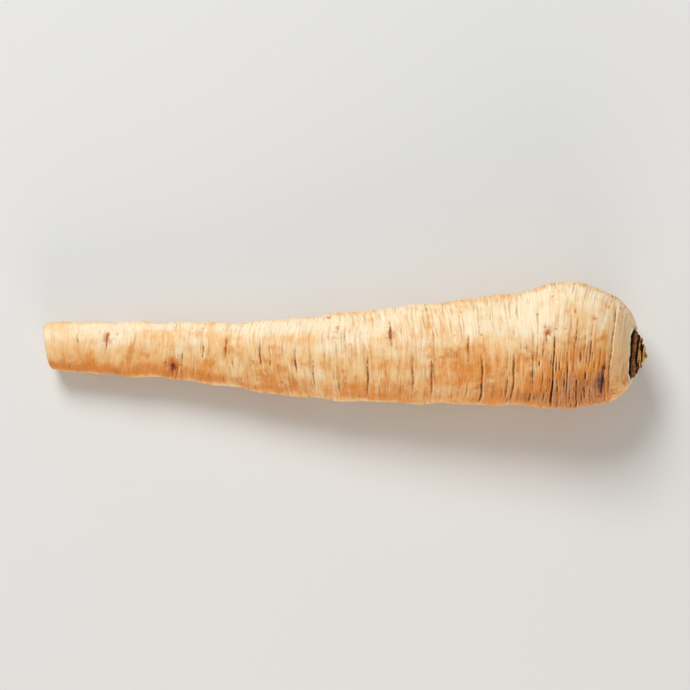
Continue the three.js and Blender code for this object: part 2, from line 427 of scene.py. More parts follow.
def corrugation(s, turn):
    """A sum of sines along the root, each 1.1 to 3 mm long. Each one's phase drifts round the
    root, and each fades in and out in patches, so that no ridge runs the whole way."""
    height = np.zeros_like(s)
    for k in range(RIDGE_SINES):
        length = 1.1 + 1.9 * scatter(k)
        drift = 1.5 * np.sin(turn + 6 * scatter(k + 20)) + np.sin(3 * turn + 9 * scatter(k + 40))
        slow = s / (9 + 9 * scatter(k + 60)) + 2 * np.sin((k % 3 + 2) * turn + k)
        patch = 0.5 + 0.5 * np.sin(slow)
        height += patch * np.sin(full_turn * s / length + drift) * length
    return RIDGE_HEIGHT * height


# %% Scars and the bruise
# Distance from the tip, direction in degrees, half length along, half width round, strength.
SCARS = [
    (147.5, 77, 0.7, 0.9, 0.9), (155.9, 58, 0.5, 0.6, 1.0), (169.6, 30, 0.5, 0.5, 0.9),
    (170.6, 40, 0.4, 0.5, 0.8), (162.4, 62, 0.8, 0.8, 0.55), (84.4, 20, 0.8, 1.0, 0.8),
    (102, 66, 0.5, 1.0, 0.9), (54.6, 78, 0.6, 1.2, 0.6), (17.9, 62, 0.5, 1.2, 0.6),
    (38.5, 128, 1.6, 2.2, 0.9), (87.5, 47, 0.9, 0.9, 0.45), (91, 74, 0.6, 0.5, 0.5),
    (166.7, 110, 0.8, 0.9, 1.1), (165.6, 147, 0.7, 0.8, 1.0), (146.6, 72, 0.4, 1.8, 0.6),
    (70.5, 133, 0.9, 0.8, 0.6), (120, 70, 0.6, 0.6, 0.4),
]
HIDDEN_SCARS = 16
# The same for skin that is tanned in patches, as beside folds and scars.
RUST = [
    (117, 92, 5.5, 3.0, 0.7), (38.5, 126, 3.5, 4.5, 1.0), (141.7, 96, 2.2, 3.0, 0.8),
    (156.5, 87, 6, 3.5, 0.7), (168.5, 148, 3.0, 5.0, 1.0), (102, 63, 1.8, 2.5, 0.9),
    (87, 61, 1.6, 1.8, 0.8), (54.6, 80, 1.8, 3.0, 0.9), (17.9, 70, 1.6, 3.0, 0.8),
    (66, 120, 5, 4, 0.6), (129, 128, 4, 5, 0.8), (9, 140, 7, 3.5, 0.7), (147.5, 77, 1.6, 3.4, 0.9),
]
HIDDEN_RUST = 14
BRUISE = (166.0, 127, 1.4, 4.0)  # distance, direction, half length along, half width round


def bell(at, facing, along, across):
    """e to the minus the squared distance from a point on the skin, in half lengths and widths."""
    round_way = angle_between(turn, math.radians(facing)) * smooth_through(OUTLINE, s)
    return np.exp(-(((s - at) / along) ** 2) - (round_way / across) ** 2)


def strongest(listed, hidden, *ranges):
    """The strongest mark at each vertex: a bell for each, times its strength.

    Beside the listed marks there are random ones on the sides that are out of sight, with each
    of their values drawn evenly from its range.
    """
    drawn = zip(*(random.uniform(low, high, hidden) for low, high in ranges))
    return np.max([strength * bell(*where) for *where, strength in listed + list(drawn)], axis=0)


scar = strongest(
    SCARS, HIDDEN_SCARS, (12, 166), (185, 355), (0.4, 1.1), (0.5, 1.6), (0.4, 0.9)
)
rust = strongest(RUST, HIDDEN_RUST, (10, 168), (175, 375), (1.5, 6), (2, 5), (0.5, 1))
bruise = bell(*BRUISE)
print("scars:", HIDDEN_SCARS, "out of sight,", len(SCARS), "in sight, and one bruise")

# %% [markdown]
# ## The root's surface
#
# The rings of the cut tip, the side and the crown are stacked into one grid and closed with a
# fan at each end. No point goes below the table, so the root has the same small flats
# underneath as the solid part.

# %% The side
SCAR_DEPTH = 0.2
BRUISE_DEPTH = 0.5

ends = smooth_step(s, 2, 12) * (1 - smooth_step(s, 168, RIM_AT))
not_under = 1 - smooth_step(-np.sin(turn), 0.75, 1.0)  # 0 where the root rests
moved = s + wander(s, turn)
side_radius = (
    smooth_through(OUTLINE, moved) + swelling(s, turn) + deep_height + not_under * fine_height
    + ends * not_under * corrugation(s, turn) - SCAR_DEPTH * scar * not_under
    - BRUISE_DEPTH * bruise
)


# %% The end faces and the rim
def uneven_face(radius, along, size):
    """Rings of an end face, with a low relief: three sines round them, size mm high."""
    r, t = np.meshgrid(radius, turns, indexing="ij")
    bumps = np.sin(5 * t + 2 * r) + np.sin(11 * t - 3 * r) + 0.7 * np.sin(23 * t + r)
    return r, np.repeat(along[:, None], AROUND, 1) + size * bumps * smooth_step(r, 0.5, 3)


def rim_wobble(t):
    """Sideways and lengthways swings of the crown's rim, mm: three sines of the direction each.

    On top it is also worn lower by 0.8 mm, where the sine of the direction is near 1.
    """
    sideways = 0.16 * np.sin(3 * t + 1) + 0.1 * np.sin(7 * t) + 0.07 * np.sin(16 * t + 2)
    lengthways = 0.22 * np.sin(2 * t + 4) + 0.12 * np.sin(5 * t + 1) + 0.08 * np.sin(13 * t)
    return sideways, lengthways - 0.8 * smooth_step(np.sin(t), 0.2, 1)


tip_r, tip_a = uneven_face(tip_radius, tip_along, 0.03)
crown_r, crown_a = uneven_face(crown_radius, crown_along, 0.07)
sideways, lengthways = rim_wobble(turns)
near_rim = smooth_step(s, 169, OUTLINE[-1][0])
side_radius += near_rim * sideways
moved += near_rim * lengthways
in_recess = crown_radius < RIM_INNER_RADIUS
steady = smooth_step(RIM_AT - crown_along, 0.1, 1.6) * in_recess  # 1 on the recess's floor
crown_r += (1 - steady)[:, None] * sideways
crown_a += (1 - steady)[:, None] * lengthways

# %% Stack the rings
radius = np.vstack([tip_r, side_radius, crown_r])
along = np.vstack([tip_a, moved, crown_a])
cosines, sines = np.cos(turns), np.sin(turns)
root_points = place(along, radius * cosines, FLATTENING * radius * sines)
root_points[..., 2] = np.maximum(root_points[..., 2], 0)
print("rings:", len(radius), "of", AROUND)

# %% Lay the fine root over the solid one
low, high = (np.array(corner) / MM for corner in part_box("root"))
fine_low, fine_high = root_points.min((0, 1)), root_points.max((0, 1))
offset = (low + high) / 2 - (fine_low + fine_high) / 2
offset[2] = 0
root_points += offset
print("moved by, mm:", offset.round(2))
print("larger than the solid by, mm:", (fine_high - fine_low - high + low).round(2))


# %% [markdown]
# ## Marks for the materials
#
# The finish has to follow the skin, so the mesh carries its own fields: the straightened root's
# coordinates for streaks, three numbers for the folds nearby, and one each for tanned skin,
# scars, the bruise, the collar and the crown.


# %% Fields on the grid
def on_all_rings(values, at_crown=0.0):
    """A field of the side, with 0 on the tip's rings and a given value on the crown's."""
    return np.vstack([np.zeros_like(tip_r), values, np.full_like(crown_r, at_crown)])


def round_axis(from_axis):
    """The straight root's coordinates with its rings, without the wander, at a given radius."""
    ring_place = np.vstack([tip_a, s, crown_a])
    across, up = from_axis * cosines, from_axis * sines
    return together(ring_place, across, up)


EVEN_RADIUS = 14  # of the cylinder for streaks, so that the taper can't bend them
on_rim = 1 - smooth_step(crown_radius, 9.0, 9.5)
# Inside the recess the crown field darkens the skin, as painted shade of the hollow.
inside = smooth_step(RIM_AT - crown_along, 0.25, 1.2) * in_recess
root_fields = {
    "straight": round_axis(radius),
    "unrolled": round_axis(EVEN_RADIUS),
    "scar": on_all_rings(scar),
    "collar": on_all_rings(smooth_step(s, 167.2, 169.6), at_crown=1.0),
    "bruise": on_all_rings(bruise),
    "rust": on_all_rings(rust),
    "crown": on_all_rings(0 * s, at_crown=0.5 * (on_rim + inside)[:, None]),
}
for number, field in enumerate(line_fields):
    root_fields[f"fold_{number}"] = np.vstack([unmarked(tip_r), field, unmarked(crown_r)])


# %% Meshes from grids
def new_object(name, data):
    """An object with a mesh, a light or a camera as its data, put into the scene."""
    thing = bpy.data.objects.new(name, data)
    bpy.context.scene.collection.objects.link(thing)
    return thing


def closed_grid(grid):
    """Vertices and faces of a stack of rings, each joined to the next and both ends closed.

    Vertex j of ring i makes a four-sided face with vertex j + 1 and the two above them. Each
    end has one more vertex, at its ring's middle, and a fan of triangles.
    """
    rings, around = grid.shape[:2]
    number = np.arange(rings * around).reshape(rings, around)
    ahead = np.roll(number, -1, 1)
    quads = np.stack([number[:-1], ahead[:-1], ahead[1:], number[1:]], -1).reshape(-1, 4)
    start, end = np.full(around, rings * around), np.full(around, rings * around + 1)
    fans = np.vstack([
        np.stack([start, ahead[0], number[0]], -1), np.stack([end, number[-1], ahead[-1]], -1)
    ])
    flat = grid.reshape(rings * around, -1)
    return np.vstack([flat, grid[0].mean(0), grid[-1].mean(0)]), quads, fans


def fill_mesh(name, points, faces, fields):
    """A smooth-shaded object at the origin, with its points in metres and its fields by name."""
    mesh = bpy.data.meshes.new(name)
    mesh.from_pydata(points * MM, [], faces)
    mesh.polygons.foreach_set("use_smooth", np.ones(len(mesh.polygons), bool))
    for field, values in fields.items():
        vector = values.shape[1] == 3
        mark = mesh.attributes.new(field, "FLOAT_VECTOR" if vector else "FLOAT", "POINT")
        mark.data.foreach_set("vector" if vector else "value", values.astype(np.float32).ravel())
    mesh.validate()
    print(name, "has", sum(len(face) - 2 for face in faces), "triangles")
    return new_object(name, mesh)


# %% Make the root
points, quads, fans = closed_grid(root_points)
fields = {
    name: closed_grid(values if values.ndim == 3 else values[..., None])[0]
    for name, values in root_fields.items()
}
root = fill_mesh("parsnip_root", points, quads.tolist() + fans.tolist(), fields)

# %% [markdown]
# ## Leaf stalk stubs
#
# The leaf stalks clasped each other in sheaths and were cut off low. What is left are dry, dark
# shells with ragged tops, one inside the other, on a low mound. Each shell is a strip of skin
# carried round the axis: a closed cross-section that is swept along the sheath. Between them
# stand loose fibres.

# %% Sizes of the stubs, in millimetres
STUB_CLEARANCE = 0.35  # between the stubs and the floor of the recess
STUB_FLOOR = FLOOR_AT + STUB_CLEARANCE
STUB_TIP_AT = 177.9
STUB_RADIUS = 7.3
SHEATHS = 7
SHEATH_THICKNESS = 0.6
SHEATH_INNER_RADIUS = 1.2
SHEATH_STEPS = 2.8  # from the top of the outermost sheath to that of the innermost
SHEATH_LEAN = 0.06  # share of its radius by which a sheath leans in at the top
ALONG_SHEATH = 120  # vertices
RIDGE = 0.05  # height of the ridges on a sheath
LOW_RIM = 2.1  # the crown's rim on top, above the stubs' floor
# Up to this height above the rim the outermost sheath is painted dark, as shade in the gap.
RIM_CRACK = 0.55  # how far above that rim the outermost sheath is still dark
STUB_TALLEST = STUB_TIP_AT - STUB_FLOOR
golden_angle = math.pi * (3 - math.sqrt(5))


def shell(x, y, z, fibre, tipward, bare):
    """A grid of the upright stubs, turned and moved into the crown, and its fields.

    They are a place along and across its fibres, how near the tips it is, and how bare.
    """
    grid = place(STUB_FLOOR + z, x, FLATTENING * y) + offset
    tipward, bare = (together(values + 0 * z) for values in (tipward, bare))
    return grid, {"fibre": together(*fibre), "tipward": tipward, "bare": bare}


# %% One sheath
def sheath_section():
    """Once round a sheath's thin cross-section: (way up, side), with side 1 outside, -1 inside."""
    up = np.r_[np.linspace(0, 1, 14), 1.0, np.linspace(1, 0, 14)]
    side = np.r_[np.full(13, 1.0), 0.7, 0.0, -0.7, np.full(13, -1.0)]
    return up, side


def sheath(n):
    """A plate bent round the axis, leaning in, with torn fibres along its top.

    Its height is the sheath's own, plus two sines and short steps of a torn edge, less 1.2 mm
    times the fourth power of the way to either end. Fine ridges run up it. The field called
    bare is 0 at the top of the next sheath outside, or just above the crown's rim for the
    outermost, and 1 at its own top. The field called tipward is 1 at the top of the tallest.
    """
    inwards = n / (SHEATHS - 1)
    outermost = STUB_RADIUS - SHEATH_THICKNESS / 2
    middle = outermost + (SHEATH_INNER_RADIUS - outermost) * inwards
    tall = STUB_TALLEST - SHEATH_STEPS * (1 - inwards)
    facing = 1.9 + n * golden_angle
    half_span = math.radians(100 + 30 * scatter(n + 3))
    up, side = sheath_section()
    way = np.linspace(-1, 1, ALONG_SHEATH)[:, None]
    strand = np.floor((way + 1) * 24 * (1.1 - 0.6 * inwards))
    waves = 0.12 * np.sin(7 * way + 2 * n) + 0.07 * np.sin(19 * way + 5 * n)
    torn = waves + 0.1 * (scatter(strand + 31 * n) - 0.7)
    z = up * (tall + torn - 1.2 * way ** 4)
    ridges = np.sin(way * 140 * (1.1 - 0.7 * inwards) + 3 * up) + np.sin(9 * up + 5 * way)
    ends = np.sqrt(np.clip(1 - way ** 12, 0, 1))
    thick = SHEATH_THICKNESS * (1 - 0.6 * up ** 3) / 2 * ends
    r = middle * (1 - SHEATH_LEAN * up ** 2) + side * thick
    r += RIDGE * ridges * np.abs(side) + 0.12 * up * torn
    angle = facing + way * half_span + 0.05 * up * np.sin(9 * way + n)
    tipward = 2 * z / STUB_TALLEST - 1
    below = LOW_RIM + RIM_CRACK if n == 0 else tall - SHEATH_STEPS / (SHEATHS - 1)
    bare = (z - below) / (tall - below)
    fibre = (middle * angle, z, 3 * n)
    return shell(r * np.cos(angle), r * np.sin(angle), z, fibre, tipward, bare)


# %% The mound between them
MOUND_RINGS = 50
AROUND_MOUND = 110


def mound():
    """A low dome of rings. Its radius and height come from a short profile, with ridges and
    hollows of a fifth of a millimetre left by older leaves."""
    top = STUB_TALLEST - 1.7
    profile = [
        (STUB_RADIUS - 0.5, 0), (STUB_RADIUS - 0.3, 1.2), (STUB_RADIUS - 0.7, 2.4),
        (STUB_RADIUS - 2.3, top - 1.4), (STUB_RADIUS - 4.4, top - 0.4), (0.1, top),
    ]
    r, z = (column[:, None] for column in resample(profile, MOUND_RINGS))
    angle = np.arange(AROUND_MOUND) / AROUND_MOUND * full_turn
    bumps = np.sin(7 * angle + 2 * r) * np.sin(3 * r) + 0.6 * np.sin(19 * angle - 4 * r)
    z = z + 0.16 * bumps * smooth_step(z, 1.2, 2.6)
    fibre = (r * angle, z, 40)
    return shell(r * np.cos(angle), r * np.sin(angle), z, fibre, 0.3 * (z - top), 0.5)


# %% Loose fibres
FIBRES = 60


def loose_fibres():
    """Short tapered hairs on the mound, each a bent line with five-sided rings round it.

    A hair's distance from the axis grows with the way along it to the 1.5, and its direction
    turns with the square of it.
    """
    way = np.linspace(0, 1, 7)
    sides = np.arange(5) / 5 * full_turn
    shells = []
    for k in range(FIBRES):
        from_axis = 0.93 * STUB_RADIUS * math.sqrt(random.random())
        angle = random.uniform(0, full_turn)
        foot = max(0.4, (STUB_TALLEST - 2.2) * (1 - (from_axis / STUB_RADIUS) ** 4))
        length, thick = random.uniform(0.7, 1.6), random.uniform(0.05, 0.11)
        lean, sway = random.normal(0.15, 0.35), random.normal(0, 0.3)
        length = min(length, STUB_TALLEST - foot)
        r = np.minimum(from_axis + lean * length * way ** 1.5, STUB_RADIUS)
        bent = angle + sway * way ** 2 / max(from_axis, 1)
        width = thick * (1 - 0.8 * way)[:, None]
        x = (r * np.cos(bent))[:, None] + width * np.cos(sides)
        y = (r * np.sin(bent))[:, None] + width * np.sin(sides)
        z = (foot - 0.3 + length * way)[:, None] + 0 * sides
        shells.append(shell(x, y, z, (x, z, 50 + k), 0.5 * way[:, None], 1))
    return shells


# %% Join the shells into one piece
def join_shells(name, shells):
    """One mesh of many closed shells. A shell that came out inside out has its rings reversed."""
    points, faces, fields, start = [], [], {}, 0
    for grid, marks in shells:
        corners, quads, fans = closed_grid(grid)
        a, b, c = (corners[quads[:, k]] for k in range(3))
        outward = (np.cross(b - a, c - a) * (a - corners.mean(0))).sum() > 0
        for block in (quads, fans):
            faces += (start + (block if outward else block[:, ::-1])).tolist()
        points.append(corners)
        for mark, values in marks.items():
            fields.setdefault(mark, []).append(closed_grid(values)[0])
        start += len(corners)
    return fill_mesh(name, np.vstack(points), faces, {k: np.vstack(v) for k, v in fields.items()})


shells = [sheath(n) for n in range(SHEATHS)] + [mound()] + loose_fibres()
stubs = join_shells("crown_stalk_stubs", shells)

# %% [markdown]
# ## Materials
#
# Every finish is worked out by nodes from what the mesh carries, so it needs no picture and can
# be read at any distance. Colours are given as they look on a screen and turned to linear light.


# %% Colours and nodes
def linear(hex_colour):
    """An sRGB colour as linear light: each channel over 12.92 if dark, else a power of 2.4."""
    channels = [int(hex_colour[i:i + 2], 16) / 255 for i in (1, 3, 5)]
    return [c / 12.92 if c <= 0.04045 else ((c + 0.055) / 1.055) ** 2.4 for c in channels] + [1.0]


def add(tree, kind, inputs, **settings):
    """A new node with its settings. Where an input is a node, its first output is meant."""
    node = tree.nodes.new("ShaderNode" + kind)
    for name, value in settings.items():
        setattr(node, name, value)
    for name, value in inputs.items():
        source = value.outputs[0] if isinstance(value, bpy.types.Node) else value
        if isinstance(source, bpy.types.NodeSocket):
            tree.links.new(source, node.inputs[name])
        else:
            node.inputs[name].default_value = source
    return node


def new_material(name):
    """A material without nodes yet, and its tree."""
    material = bpy.data.materials.new(name)
    material.use_nodes = True
    material.node_tree.nodes.clear()
    return material, material.node_tree


# %% [markdown]
# A finish is built up like a glaze: coats of colour over each other, each only where some
# patterns and fields of the mesh say so. One short function multiplies what decides a coat's
# share, one adds up patterns by weight, and one lays the coats.


# %% Shares, sums and coats
def share(tree, *factors):
    """The product of some factors: how much there is of a coat at a place.

    A factor is a number, a node, or a tuple of what drives it, low, high, and what it is at low
    and at high, between which it turns softly. Those are 0 and 1 where they are left out.
    """
    product = None
    for factor in factors:
        if isinstance(factor, tuple):
            sockets = dict(enumerate(factor + (0, 1)[len(factor) - 3:]))
            factor = add(tree, "MapRange", sockets, interpolation_type="SMOOTHSTEP")
        if product is None:
            product = factor
        else:
            product = add(tree, "Math", {0: product, 1: factor}, operation="MULTIPLY")
    return product


def total(tree, start, *terms):
    """A number plus some terms, each what it is times its weight."""
    for term, weight in terms:
        start = add(tree, "Math", {0: term, 1: weight, 2: start}, operation="MULTIPLY_ADD")
    return start


def coats(tree, colour, *layers):
    """Coats laid over a ground colour. A coat is its colour and the factors of its share."""
    colour = linear(colour)
    for paint, *factors in layers:
        sockets = {0: share(tree, *factors), 6: colour, 7: linear(paint)}
        colour = add(tree, "Mix", sockets, data_type="RGBA").outputs[2]
    return colour


# %% Noise by its grain
def grains(tree, place, table):
    """Noise for each row of a table: grain in mm along and twice across, shift, detail, roughness.

    The place is divided by the grain's size. The shift, in mm along, keeps two patterns apart.
    """
    found = []
    for size, shift, detail, roughness in table:
        scale = [1 / mm for mm in size]
        sockets = {"Vector": place, "Location": (shift / size[0], 0, 0), "Scale": scale}
        spread = add(tree, "Mapping", sockets)
        sockets = {"Vector": spread, "Scale": 1.0, "Detail": detail, "Roughness": roughness}
        found.append(add(tree, "TexNoise", sockets))
    return found


# %% [markdown]
# ### Washed parsnip skin
#
# The skin is thin cork over pale flesh: cream where it is rubbed thin and tan where it is thick.
# On top of that its tone has painted shade: paler towards the far light and deeper orange away
# from it. Light goes a millimetre or two into it, which softens its shading and warms it. Its
# streaks run round the root, half a millimetre wide and 5 mm long. The folds are brown inside,
# the deepest nearly black with painted shade, and the skin beside them is tanned to orange.


# %% Round the middle line
def round_middle(tree, straight):
    """The way along the straight root, the direction outwards, and how far out in mm."""
    along, across, up = add(tree, "SeparateXYZ", {0: straight}).outputs
    flat = add(tree, "CombineXYZ", {"Y": across, "Z": up})
    outwards = add(tree, "VectorMath", {0: flat}, operation="NORMALIZE")
    from_middle = add(tree, "VectorMath", {0: flat}, operation="LENGTH").outputs["Value"]
    return along, outwards, from_middle


# %% Where the skin is tanned, with painted shade by side
def tan_and_painted_shade(tree, straight, patches, blotches, bands):
    """A tone from cream, at about 0.3, to deep orange, at about 1.2, and how far onto the shoulder.

    It is patches, blotches and bands of noise less 0.42 times the cosine of the direction. That
    cosine term is painted shade: the upper side is palest towards +Y, where the far light is, and
    deepest orange towards -Y, away from it. Underneath it is even. It deepens on the shoulder's
    side away from the light, partly tan and partly painted shade, and it is near 0.62 on the
    collar beside the crown.
    """
    along, outwards, _ = round_middle(tree, straight)
    _, sideways, upwards = add(tree, "SeparateXYZ", {0: outwards}).outputs
    # Painted shade: paler on the side towards the far light, deeper orange on the side away from
    # it.
    cosine = share(tree, sideways, (upwards, 0.1, 0.6, 0.1, 1))
    shoulder = share(tree, (along, 128, 158), (cosine, 0.2, -0.6))
    near_crown = share(tree, (along, 148, 165))
    tone = total(
        tree, -0.425, (patches, 1.3), (blotches, 0.6), (bands, 0.45), (cosine, -0.42),
        (shoulder, 0.3), (near_crown, 0.14),
    )
    collar = share(tree, (along, 166.5, 170, 0, 0.7))
    return add(tree, "Mix", {0: collar, 2: tone, 3: 0.62}), shoulder


# %% Cells that each hold one mark
def cells(tree, place, size, shift):
    """Voronoi cells of a size in mm: the way along to the nearest cell's middle, how far that
    middle is, and three numbers drawn for the cell."""
    scale = [1 / mm for mm in size]
    sockets = {"Vector": place, "Location": (shift / size[0], 0, 0), "Scale": scale}
    spread = add(tree, "Mapping", sockets)
    cell = add(tree, "TexVoronoi", {"Vector": spread, "Scale": 1.0}).outputs
    way = add(tree, "VectorMath", {0: spread, 1: cell["Position"]}, operation="SUBTRACT")
    drawn = add(tree, "SeparateColor", {0: cell["Color"]}).outputs
    return add(tree, "SeparateXYZ", {0: way}).outputs["X"], cell["Distance"], drawn


def short_folds(tree, rings, size, shift, thick):
    """A hairline in the middle of some of the long, thin cells, fading towards its ends."""
    way, far, drawn = cells(tree, rings, size, shift)
    off = add(tree, "Math", {0: way}, operation="ABSOLUTE")
    return share(tree, (off, thick, 0.25 * thick), (drawn[0], 0.5, 1.0), (far, 0.62, 0.25))


def freckles(tree, straight):
    """Round spots in one cell of six, full to 0.17 mm from their middle and gone at 0.4 mm."""
    _, far, drawn = cells(tree, straight, (2.4, 2.4, 2.4), 0)
    return share(tree, (far, 0.17, 0.07), (drawn[1], 0.84, 0.95))


# %% Folds that the mesh carries
def drawn_folds(tree, rough):
    """Hairline, orange skin beside it and painted lip highlight of every wrinkle written into the
    mesh.

    A field holds the distance to the line, its strength and its warmth. The line is 0.1 to
    0.3 mm wide on each side, and roughened by noise. The painted highlight of the lip is 0.5 mm
    away on the crown's side. Where two fields overlap, the stronger mark shows.
    """
    strongest = None
    for number in range(LINE_FIELDS):
        field = add(tree, "Attribute", {}, attribute_name=f"fold_{number}").outputs["Vector"]
        distance, power, warmth = add(tree, "SeparateXYZ", {0: field}).outputs
        away = total(tree, distance, (rough, 0.5))
        off = add(tree, "Math", {0: away}, operation="ABSOLUTE")
        widths = add(tree, "Math", {0: off, 1: total(tree, 0.1, (power, 0.22))}, operation="DIVIDE")
        found = [
            share(tree, (widths, 1.3, 0.5), power), share(tree, (off, 1.05, 0.1), warmth),
            share(tree, (away, 0.2, 0.5), (away, 0.9, 0.6), power),
        ]
        pairs = zip(strongest or found, found)
        strongest = [add(tree, "Math", {0: a, 1: b}, operation="MAXIMUM") for a, b in pairs]
    return strongest


# %% Skin
def parsnip_skin():
    """Cream, gold and orange skin with streaks, folds, freckles, scars, bruise and crown."""
    material, tree = new_material("parsnip_skin_washed")
    fields = ("straight", "unrolled", "collar", "rust", "scar", "bruise", "crown")
    carried = {name: add(tree, "Attribute", {}, attribute_name=name).outputs for name in fields}
    straight, unrolled = carried["straight"]["Vector"], carried["unrolled"]["Vector"]
    collar, rust, scar, bruise, crown = (carried[name]["Fac"] for name in fields[2:])
    along = add(tree, "SeparateXYZ", {0: straight}).outputs["X"]
    streaked = share(tree, (along, 10, 85, 0.45, 1.0), (collar, 0, 1, 1, 0.75))

    slow = grains(tree, unrolled, [((18, 12, 12), 0, 1, 0.55)])[0]
    sway = add(tree, "CombineXYZ", {"X": total(tree, -0.8, (slow, 1.6))})
    rings = add(tree, "VectorMath", {0: unrolled, 1: sway}, operation="ADD")
    patches, blotches, patchy, rough, grain = grains(tree, straight, [
        ((15, 9, 9), 0, 4, 0.55), ((3.0, 4.5, 4.5), 0, 4, 0.6), ((2.0, 1.6, 1.6), 0, 3, 0.6),
        ((0.8, 0.8, 0.8), 0, 3, 0.55), ((0.3, 0.3, 0.3), 0, 2, 0.55),
    ])
    bands, tan_streaks, pale_streaks, hairlines = grains(tree, rings, [
        ((2.6, 30, 30), 90, 3, 0.55), ((0.65, 9, 9), 0, 3, 0.6), ((0.5, 7, 7), 40, 2, 0.55),
        ((0.26, 4, 4), 0, 2, 0.55),
    ])
    tone, shoulder = tan_and_painted_shade(tree, straight, patches, blotches, bands)

    line, halo, lip = drawn_folds(tree, total(tree, -0.5, (rough, 1)))
    line = share(tree, line, (patchy, 0.36, 0.54, 0.4, 1.0))
    sparse = short_folds(tree, rings, (1.9, 6.5, 6.5), 0, 0.13)
    sparse = share(tree, sparse, (tone, 0.35, 1.0, 0.25, 1.0))
    crowded = share(tree, short_folds(tree, rings, (1.1, 4.5, 4.5), 70, 0.22), shoulder)
    short = add(tree, "Math", {0: sparse, 1: crowded}, operation="MAXIMUM")
    short = share(tree, short, (streaked, 0.5, 0.9))
    rusty = share(tree, rust, (patchy, 0.35, 0.65, 0.1, 0.9))
    ragged = share(tree, scar, (patchy, 0.3, 0.62, 0.35, 1.25))
    stain = share(tree, bruise, (patchy, 0.25, 0.6, 0.55, 1.2))
    colour = coats(
        tree, "#EFDCB8",  # cream
        # Gold, orange and brown follow the tone, which carries painted shade on the side away from
        # the light.
        ("#EBC084", (tone, 0.36, 0.84)), ("#DF8D2E", (tone, 0.75, 1.2)),  # gold, then orange
        ("#B06A26", (tone, 1.15, 1.6)),
        ("#D3832F", (blotches, 0.52, 0.68), (tone, 0.55, 1.05, 0.1, 0.7)),
        ("#CB8A3E", 0.65, (tan_streaks, 0.5, 0.7), streaked),
        ("#FBEED2", (pale_streaks, 0.52, 0.7), (tone, 0.4, 1.1, 0.62, 0.24), streaked),
        ("#B5722C", (hairlines, 0.42, 0.26), (tone, 0.5, 1.1, 0.12, 0.5), streaked),
        ("#CB7D31", 0.75, (rusty, 0, 0.7)), ("#CC762A", 0.85, halo, (patchy, 0.4, 0.65)),
        # The pale coat on each fold's lip is a painted highlight.
        ("#FBE8C2", 0.6, lip), ("#96591F", 0.65, short), ("#8F4F1A", 0.85, (line, 0.04, 0.45)),
        ("#9A5424", 0.8, freckles(tree, straight)),
        ("#CB742C", 0.8, (ragged, 0.08, 0.5)), ("#7C3717", 0.85, (ragged, 0.5, 0.9)),
        ("#8C5A48", 0.8, (stain, 0.15, 0.7)), ("#4F2A26", 0.7, (stain, 0.7, 1.1)),
        # The deep folds are nearly black, more of them on the shoulder: brown with painted shade.
        ("#3A1C0A", 0.85, (line, 0.18, 0.5), shoulder), ("#2B1508", 0.95, (line, 0.5, 0.9)),
        # The rim is pale where it is worn, and the recess inside it is painted dark:
        # dried brown with painted shade of the hollow.
        ("#FFF0CC", 0.8, (crown, 0.2, 0.5)), ("#3B2010", 0.97, (crown, 0.55, 0.85)),
    )

    streaky = share(tree, total(tree, 0, (pale_streaks, 0.24), (tan_streaks, -0.12)), streaked)
    height = total(
        tree, streaky, (bands, 0.5), (hairlines, 0.04), (grain, 0.05), (short, -0.12), (line, -0.3),
        (lip, 0.08),
    )
    surface = add(tree, "BsdfPrincipled", {
        "Base Color": colour, "Roughness": share(tree, (pale_streaks, 0.3, 0.7, 0.6, 0.44)),
        "IOR": 1.42, "Subsurface Weight": 0.3, "Subsurface Radius": (1.0, 0.45, 0.18),
        "Subsurface Scale": 1.6 * MM,
        "Normal": add(tree, "Bump", {"Height": height, "Strength": 1.0, "Distance": MM}),
    })
    add(tree, "OutputMaterial", {"Surface": surface})
    return material


# %% [markdown]
# ### Cut parsnip flesh
#
# The tip was cut with a knife some days ago. The face has dried to a dull cream with a browned
# edge, and its woody core shows as a darker disc inside a brown ring, with fine rays.


# %% Cut flesh
def cut_flesh():
    """A dull cream face with rays, a core of 2.7 mm, a ring round it and a browned edge."""
    material, tree = new_material("parsnip_flesh_cut_dry")
    straight = add(tree, "Attribute", {}, attribute_name="straight").outputs["Vector"]
    _, outwards, from_core = round_middle(tree, straight)
    uneven, speckle = grains(tree, straight, [((2.2,) * 3, 0, 3, 0.55), ((0.35,) * 3, 0, 3, 0.55)])
    wobble = total(tree, -0.8, (from_core, 1), (uneven, 1.6))
    way_out = add(tree, "CombineXYZ", {"X": total(tree, 0, (from_core, 0.12))})
    ray_place = add(tree, "VectorMath", {0: outwards, 1: way_out}, operation="ADD")
    rays = grains(tree, ray_place, [((0.5, 0.09, 0.09), 0, 3, 0.55)])[0]
    colour = coats(
        tree, "#F8E2C0", ("#E4BC8A", 0.55, (rays, 0.38, 0.62)),
        ("#E0B47C", 0.35, (wobble, 2.9, 2.5)),  # core
        ("#BC8450", 0.6, (wobble, 2.5, 2.8), (wobble, 3.4, 2.9)),  # ring
        ("#D09A60", 0.5, (uneven, 0.52, 0.7)), ("#A8672F", 0.9, (wobble, 5.9, 7.1)),  # edge
    )
    relief = total(tree, 0, (rays, 0.5), (speckle, 0.35), (uneven, 1))
    surface = add(tree, "BsdfPrincipled", {
        "Base Color": colour, "Roughness": 0.7, "IOR": 1.42, "Subsurface Weight": 0.3,
        "Subsurface Radius": (1.0, 0.6, 0.3), "Subsurface Scale": 1.5 * MM,
        "Normal": add(tree, "Bump", {"Height": relief, "Strength": 0.8, "Distance": 0.2 * MM}),
    })
    add(tree, "OutputMaterial", {"Surface": surface})
    return material
